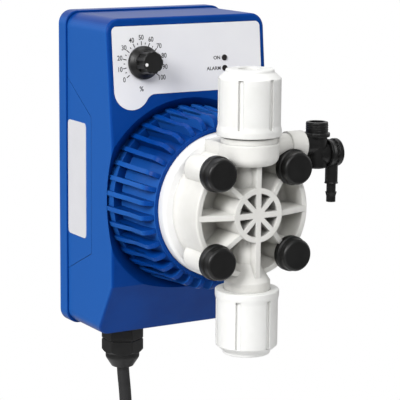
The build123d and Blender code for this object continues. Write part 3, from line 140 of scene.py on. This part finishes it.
def casing_abs():
    """ABS housing in deep blue; walls facing sideways get a paler speckled blue, painted light standing in
    for the light falling on the side walls.
    """
    # Corners and pockets of the housing are darkened with painted shade.
    material = surface("blue_abs", "054193", "033A88", 0.36, cloud=40, grain=1.1, relief=0.02, edge=0.6,
                       hollow=6, Specular_IOR_Level=0.1)
    tree = material.node_tree
    shader = tree.nodes["Principled BSDF"]
    polished = shader.inputs["Base Color"].links[0].from_socket
    # Painted light: faces turned sideways are mixed toward a paler blue, as if lit, while the front keeps
    # the deep blue.
    facing = node(tree, "NewGeometry")
    sideways = node(tree, "SeparateXYZ", [(facing.outputs["True Normal"], "Vector")])
    size = node(tree, "Math", [(sideways.outputs["X"], 0)], operation="ABSOLUTE")
    wall = node(tree, "MapRange", [(size.outputs[0], "Value")], From_Min=0.75, From_Max=0.98)
    specks = node(tree, "TexNoise", Scale=per_metre(1.4), Detail=3.0)
    painted_lit_wall_blue = node(tree, "ValToRGB", [(specks.outputs["Fac"], "Fac")])
    for stop, code in zip(painted_lit_wall_blue.color_ramp.elements, ("1C59AA", "2561B4")):
        stop.color = linear(code)
    both = node(tree, "MixRGB", [(wall.outputs["Result"], "Fac"), (polished, "Color1"),
                                 (painted_lit_wall_blue.outputs["Color"], "Color2")])
    tree.links.new(both.outputs["Color"], shader.inputs["Base Color"])
    return material


# Glass-filled polypropylene: a warm white with a satin skin and soft moulded corners, with painted shade in
# its corners and pockets.
HEAD_PP = surface("white_head_polypropylene", "EFEEEA", "E7E6E1", 0.42, 30, 1.3, 0.02, 0.9,
                  hollow=9, Specular_IOR_Level=0.35)
# PVDF: whiter and glossier than the head, with a waxy edge.
NUT_PVDF = surface("white_nut_pvdf", "F4F4F2", "EEEEEB", 0.33, 25, 1.6, 0.01, 0.9,
                   Specular_IOR_Level=0.35)
# Moulded ABS ring behind the head: clean white, slightly shiny.
RING_ABS = surface("white_ring_abs", "F4F4F4", "F0F0F0", 0.36, 35, 1.5, 0.01, 0.6)
# Nylon with black pigment: dark, with a broad soft highlight and a faint grain.
BLACK_NYLON = surface("black_nylon", "181818", "121212", 0.38, 12, 0.9, 0.03, 0.5, Specular_IOR_Level=0.4)
# EPDM rubber: matt black that scatters every highlight.
EPDM = surface("black_epdm_rubber", "1A1A1A", "131313", 0.65, 10, 0.7, 0.05, 0.2)
# Soft PVC sheath of the mains lead: dark grey black with a dull shine.
SHEATH = surface("lead_pvc_sheath", "1D1D1E", "161617", 0.48, 9, 1.0, 0.05, 0.1)
# Screen-printed polyester film: flat pale grey with a silky gloss.
FILM = surface("panel_polyester_film", "F8F8FB", "F4F4F8", 0.44, 60, 0.9, 0.004, 0.2)
# Screen-printing ink: dense and matt.
INK = surface("screen_print_ink", "17171B", "101014", 0.6, 8, 0.8, 0.0, 0.1)
# Blank vinyl label: neutral white with a light gloss.
VINYL = surface("blank_label_vinyl", "E4E4E8", "DFDFE3", 0.35, 30, 1.2, 0.004, 0.2)
# Tinted acrylic lamp that isn't lit: nearly black with a clear shine.
ACRYLIC = surface("tinted_acrylic", "2A2526", "211D1E", 0.12, 4, 0.9, 0.0, 0.2, Coat_Weight=0.7)
# White paint let into the knob.
PAINT = surface("pointer_paint", "F4F4F4", "EBEBEB", 0.5, 4, 0.8, 0.0, 0.1)
# Turned steel: fine rings left by the tool, drawn coarse enough to show.
STEEL = surface("turned_steel", "B9BABC", "9C9DA0", 0.3, 6, 0.8, 0.02, 0.3, stretch=(1, 14, 1), Metallic=1.0)
# Sintered bronze: brown gold with open pores.
BRONZE = surface("sintered_bronze", "A88346", "8A6832", 0.38, 3, 0.5, 0.04, 0.2, Metallic=1.0)
# Enamelled copper wire: red brown turns side by side, drawn as ridges across the axis.
COPPER = surface("enamelled_copper_wire", "B4632F", "8F431B", 0.3, 1.1, 0.9, 0.25, 0.2,
                 stretch=(1, 6, 1), Metallic=1.0)
# Unpigmented nylon: cream and slightly waxy.
BOBBIN = surface("natural_nylon", "D8D2C0", "CAC3AE", 0.48, 12, 1.0, 0.02, 0.3,
                 Subsurface_Weight=0.05, Subsurface_Scale=0.001)
# Circuit board: green lacquer over glass cloth.
LACQUER = surface("green_solder_lacquer", "14552B", "0D3F1F", 0.35, 2.5, 1.2, 0.06, 0.2)
# Alumina: bone white and polished.
ALUMINA = surface("polished_alumina", "F4F1E8", "EAE6DB", 0.1, 5, 0.6, 0.0, 0.2, Coat_Weight=0.4)
# Nickel-plated brass of the plug's pins: pale gold, bright, with drawing marks along it.
NICKEL = surface("nickel_plated_brass", "D3C8A6", "B7A983", 0.24, 5, 0.7, 0.01, 0.2,
                 stretch=(6, 6, 1), Metallic=1.0)
BLUE_ABS = casing_abs()

BY_SLOT = {"blue_plastic": BLUE_ABS, "panel_film": FILM, "red_lens": ACRYLIC, "white_plastic": HEAD_PP,
           "black_plastic": BLACK_NYLON, "pointer_white": PAINT, "black_rubber": EPDM, "steel": STEEL,
           "bronze": BRONZE, "copper": COPPER, "bobbin_nylon": BOBBIN, "board_green": LACQUER,
           "ceramic": ALUMINA, "cord_black": SHEATH, "pin_brass": NICKEL}
BY_NODE = {"discharge_nut": NUT_PVDF, "suction_nut": NUT_PVDF, "head_flange": RING_ABS, "side_label": VINYL,
           "plug_body": EPDM}
for part in frame["record"]["subparts"]:
    mesh = frame["nodes"][part["node"]].data
    mesh.materials.clear()
    mesh.materials.append(BY_NODE.get(part["node"], BY_SLOT[part["material_slot"]]))


def piece(name, data, material, body="casing"):
    """Adds an object, dresses it and lets it ride."""
    made = bpy.data.objects.new(name, data)
    SCENE.collection.objects.link(made)
    data.materials.append(material)
    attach(made, body)
    return made


def finished_mesh(name, bm):
    """Mesh made from an edited one, which is then freed."""
    mesh = bpy.data.meshes.new(name)
    bm.to_mesh(mesh)
    bm.free()
    return mesh


# ---------------------------------------------------------------- printing on the panel
DIAL_X, DIAL_DOWN = -30.35, 26.0
DIAL_START, DIAL_SWEEP = 215.5, 250.0       # degrees, clockwise from 0 to 100
MARK_R, LONG_MARK, SHORT_MARK, LINE_WIDTH = 11.6, 2.3, 1.0, 0.5
NUMBER_R, NUMBER_SIZE = 14.8, 3.9
PER_CENT_X, PER_CENT_DOWN = -31.6, 40.3
LAMP_X, LAMP_DOWN, LAMP_PITCH = 24.0, 24.9, 6.1
WORD_X, WORD_SIZE = LAMP_X - 2.6, 2.8
INK_LIFT, INK_THICK, INK_SPREAD = 0.02, 0.01, 0.055
FACE = Matrix(((1, 0, 0, 0), (0, sin(LEAN), -cos(LEAN), -TOP_DEPTH * MM),
               (0, cos(LEAN), sin(LEAN), PANEL_TOP_Z * MM), (0, 0, 0, 1)))


def on_panel(x, down, turn=0.0):
    """Frame just above the panel at a place given in millimetres."""
    spot = Vector((x, -down, PANEL_FACE + INK_LIFT)) * MM
    return FACE @ Matrix.Translation(spot) @ Matrix.Rotation(turn, 4, "Z")


def printed(name, words, x, down, size, align="CENTER", width=1.0):
    """Printed figures or word, the middle of its height at the place."""
    curve = bpy.data.curves.new(name, "FONT")
    curve.body, curve.size = words, size * MM
    curve.extrude, curve.offset = INK_THICK * MM, INK_SPREAD * MM
    curve.align_x, curve.align_y = align, "CENTER"
    made = piece(name, curve, INK)
    made.matrix_world = on_panel(x, down) @ Matrix.Diagonal((width, 1, 1, 1))
    return made


def printed_dial():
    """Ring of marks round the knob, a figure at each tenth and a per cent sign."""
    bm = bmesh.new()
    for step in range(21):
        angle = radians(DIAL_START - DIAL_SWEEP * step / 20)
        long = SHORT_MARK if step % 2 else LONG_MARK
        bar = bmesh.ops.create_grid(bm, x_segments=1, y_segments=1, size=0.5)
        place = on_panel(DIAL_X + MARK_R * cos(angle), DIAL_DOWN - MARK_R * sin(angle), angle)
        place = place @ Matrix.Diagonal((long * MM, LINE_WIDTH * MM, 1, 1))
        bmesh.ops.transform(bm, matrix=place, verts=bar["verts"])
        if step % 2 == 0:
            printed(f"dial_figure_{5 * step}", str(5 * step), DIAL_X + NUMBER_R * cos(angle),
                    DIAL_DOWN - NUMBER_R * sin(angle), NUMBER_SIZE, width=0.86)
    piece("dial_marks", finished_mesh("dial_marks", bm), INK)
    printed("dial_per_cent", "%", PER_CENT_X, PER_CENT_DOWN, NUMBER_SIZE)


printed_dial()
printed("lamp_word_on", "ON", WORD_X, LAMP_DOWN, WORD_SIZE, "RIGHT", 1.05)
printed("lamp_word_alarm", "ALARM", WORD_X, LAMP_DOWN + LAMP_PITCH, WORD_SIZE, "RIGHT", 1.05)


# ---------------------------------------------------------------- feet of the drum's ribs
RIB_COUNT, RIB_THICK, DRUM_R = 36, 2.7, 50.5
FOOT_REACH, FOOT_ROOT = 52.2, DRUM_R - 1.5      # outer edge, and the edge sunk in the drum
FOOT_BACK, FOOT_FRONT = 56.8, 84.0              # depth from the wall
# Outline of a foot as reach from the head's axis and depth, from the ring's floor to the front
FOOT_OUTLINE = [(FOOT_ROOT, FOOT_BACK), (FOOT_REACH, FOOT_BACK + 0.6), (FOOT_REACH, 63.0),
                (FOOT_REACH - 0.8, 72.0), (DRUM_R - 0.6, FOOT_FRONT), (FOOT_ROOT, FOOT_FRONT)]


def rib_feet():
    """Each rib's foot, standing out from the drum into the hollow ring round it."""
    bm = bmesh.new()
    for index in range(RIB_COUNT):
        angle = 2 * pi * (index + 0.5) / RIB_COUNT
        place = Matrix.Translation((0, 0, HEAD_Z * MM)) @ Matrix.Rotation(angle, 4, "Y")
        low, high = [[bm.verts.new(place @ (Vector((reach, -depth, side * RIB_THICK / 2)) * MM))
                      for reach, depth in FOOT_OUTLINE] for side in (-1, 1)]
        bm.faces.new(low)
        bm.faces.new(reversed(high))
        for i in range(len(FOOT_OUTLINE)):
            j = (i + 1) % len(FOOT_OUTLINE)
            bm.faces.new((low[j], low[i], high[i], high[j]))
    bmesh.ops.recalc_face_normals(bm, faces=bm.faces)
    piece("drum_rib_feet", finished_mesh("drum_rib_feet", bm), BLUE_ABS)


rib_feet()


# ---------------------------------------------------------------- thread of the bleed spigot
THREAD_R, THREAD_START, THREAD_PITCH, THREAD_TURNS, RIDGE_R = 6.05, 42.6, 1.25, 3.4, 0.36
THREAD_STEPS, RUN_OUT = 40, 12      # points in a turn, and points over which an end runs out


def spigot_thread():
    """Rounded thread ridge wound on the spigot, its ends running into the surface."""
    curve = bpy.data.curves.new("spigot_thread", "CURVE")
    curve.dimensions, curve.bevel_depth, curve.bevel_resolution = "3D", RIDGE_R * MM, 3
    spline = curve.splines.new("POLY")
    last = int(THREAD_TURNS * THREAD_STEPS)
    spline.points.add(last)
    for index, point in enumerate(spline.points):
        turns = index / THREAD_STEPS
        angle = pi + 2 * pi * turns
        reach = THREAD_R - RIDGE_R * max(0, 1 - min(index, last - index) / RUN_OUT)
        spot = Vector((SPIGOT_X + reach * cos(angle), -VALVE_DEPTH + reach * sin(angle),
                       HEAD_Z + THREAD_START + THREAD_PITCH * turns))
        point.co = (*(spot * MM), 1.0)
    piece("spigot_thread", curve, BLACK_NYLON)


spigot_thread()


# ---------------------------------------------------------------- mains lead
LEAD_DEPTH, LEAD_R, LEAD_LENGTH = 27.0, 3.7, 1.5
LEAD_ROUTE = [(-25.5, -109.0), (-25.5, -119.0), (-23.4, -138.0), (-22.6, -158.0), (-22.4, -178.0),
              (-22.6, -197.0)]
COIL_TURN_R, COIL_Z, STRAND_OUT = 43.7, -209.5, 8.0
COIL_TURNS, STEPS_PER_TURN = 5, 12
STRAND_TURN = radians(60)           # how far the lead shifts round the bundle in one turn of the coil
PLUG_X, PLUG_DEPTH, PLUG_TOP, TAIL_TOP = -18.6, 33.9, -268.0, -240.0


def lead_points():
    """Points that guide the lead: down from the gland, round the coil and down to the plug."""
    points = [(x, -LEAD_DEPTH, z) for x, z in LEAD_ROUTE]
    centre_x = LEAD_ROUTE[-1][0] + COIL_TURN_R + STRAND_OUT
    last = COIL_TURNS * STEPS_PER_TURN
    for step in range(last + 1):
        angle = pi + 2 * pi * step / STEPS_PER_TURN
        strand = STRAND_TURN * step / STEPS_PER_TURN
        reach = COIL_TURN_R + STRAND_OUT * cos(strand)
        if 0 < step < last:
            reach /= cos(pi / STEPS_PER_TURN)
        points.append((centre_x + reach * cos(angle), -LEAD_DEPTH + STRAND_OUT * sin(strand),
                       COIL_Z + reach * sin(angle)))
    return points + [(PLUG_X, -PLUG_DEPTH, TAIL_TOP), (PLUG_X, -PLUG_DEPTH, PLUG_TOP)]


def mains_lead():
    """Whole lead as one smooth curve."""
    curve = bpy.data.curves.new("mains_lead", "CURVE")
    curve.dimensions, curve.resolution_u = "3D", 8
    curve.bevel_depth, curve.bevel_resolution = LEAD_R * MM, 6
    points = lead_points()
    line = curve.splines.new("NURBS")
    line.points.add(len(points) - 1)
    for guide, spot in zip(line.points, points):
        guide.co = (*(Vector(spot) * MM), 1.0)
    line.order_u = 3
    line.use_endpoint_u = True
    made = piece("mains_lead", curve, SHEATH)
    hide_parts("power_cord", "cord_coil", "cord_tail")


mains_lead()


# ---------------------------------------------------------------- stage, lights and camera
FLOOR_R, FLOOR_Y, FLOOR_GAP = 0.55, -0.05, 0.002
LIGHT_AIM = Vector((0, -0.06, 0))


def floor():
    """Pale disc just below the plug."""
    bm = bmesh.new()
    bmesh.ops.create_circle(bm, cap_ends=True, segments=96, radius=FLOOR_R)
    bmesh.ops.translate(bm, verts=bm.verts, vec=(0, FLOOR_Y, cad_box[0][2] - FLOOR_GAP))
    made = bpy.data.objects.new("pale_floor", finished_mesh("pale_floor", bm))
    SCENE.collection.objects.link(made)
    made.data.materials.append(surface("pale_floor", "F4F4F4", "F0F0F0", 0.7, 80, 2.0, 0.0, 0.1))


def soft_light(name, place, size, power):
    """Square light aimed at the middle of the pump."""
    data = bpy.data.lights.new(name, "AREA")
    data.shape, data.size, data.energy = "SQUARE", size, power
    made = bpy.data.objects.new(name, data)
    SCENE.collection.objects.link(made)
    made.location = place
    made.rotation_euler = (LIGHT_AIM - Vector(place)).to_track_quat("-Z", "Y").to_euler()


def studio_world():
    """White for the eye, for clear pieces and for reflections of what is behind; a low even light."""
    world = bpy.data.worlds.new("studio")
    SCENE.world = world
    world.use_nodes = True
    tree = world.node_tree
    tree.nodes.clear()
    ray = node(tree, "LightPath")
    place = node(tree, "TexCoord")
    way = node(tree, "SeparateXYZ", [(place.outputs["Generated"], "Vector")])
    behind = node(tree, "MapRange", [(way.outputs["Y"], "Value")], From_Min=0.0, From_Max=0.5)
    above = node(tree, "MapRange", [(way.outputs["Z"], "Value")], From_Min=-0.02, From_Max=0.15)
    back_wall = node(tree, "Math", [(behind.outputs["Result"], 0), (above.outputs["Result"], 1)],
                     operation="MULTIPLY")
    mirrored = node(tree, "Math", [(ray.outputs["Is Glossy Ray"], 0), (back_wall.outputs[0], 1)],
                    operation="MULTIPLY")
    shown = node(tree, "Math", [(ray.outputs["Is Camera Ray"], 0), (mirrored.outputs[0], 1)],
                 operation="MAXIMUM")
    clear = node(tree, "Math", [(ray.outputs["Is Transmission Ray"], 0), (shown.outputs[0], 1)],
                 operation="MAXIMUM")
    low = node(tree, "Background", Color=(1, 1, 1, 1), Strength=0.2)
    white = node(tree, "Background", Color=(1, 1, 1, 1), Strength=1.0)
    mixed = node(tree, "MixShader", [(clear.outputs[0], 0), (low.outputs[0], 1), (white.outputs[0], 2)])
    node(tree, "OutputWorld", [(mixed.outputs[0], "Surface")])


def studio_camera():
    """Long lens at the front left and slightly above, rolled by half a degree."""
    turn, rise, roll = radians(-30.74), radians(10.7), radians(0.49)
    distance, aim_right, aim_up = 1020.5, 7.17, -14.01      # millimetres
    frame_width, focal = 400, 1751.89                       # pixels
    back = Vector((sin(turn) * cos(rise), -cos(turn) * cos(rise), sin(rise)))
    right = Vector((cos(turn), sin(turn), 0))
    up = back.cross(right)
    aim = Vector((0, -60, 0)) + right * aim_right + up * aim_up
    axes = Matrix((right * cos(roll) + up * sin(roll), up * cos(roll) - right * sin(roll), back))
    lens = bpy.data.cameras.new("camera")
    lens.sensor_width, lens.lens, lens.clip_end = 36, focal / frame_width * 36, 20
    made = bpy.data.objects.new("camera", lens)
    SCENE.collection.objects.link(made)
    made.matrix_world = Matrix.Translation((aim + back * distance) * MM) @ axes.transposed().to_4x4()
    SCENE.camera = made


floor()
soft_light("key_left", (-1.7, -0.7, 1.0), 0.9, 36)
soft_light("front_soft", (-0.5, -1.9, 1.3), 1.0, 17)
soft_light("top_soft", (0.2, 0.1, 1.8), 1.0, 10)
soft_light("right_fill", (1.8, -0.5, 0.5), 1.0, 6.5)
studio_world()
studio_camera()
SCENE.view_settings.view_transform = "Standard"
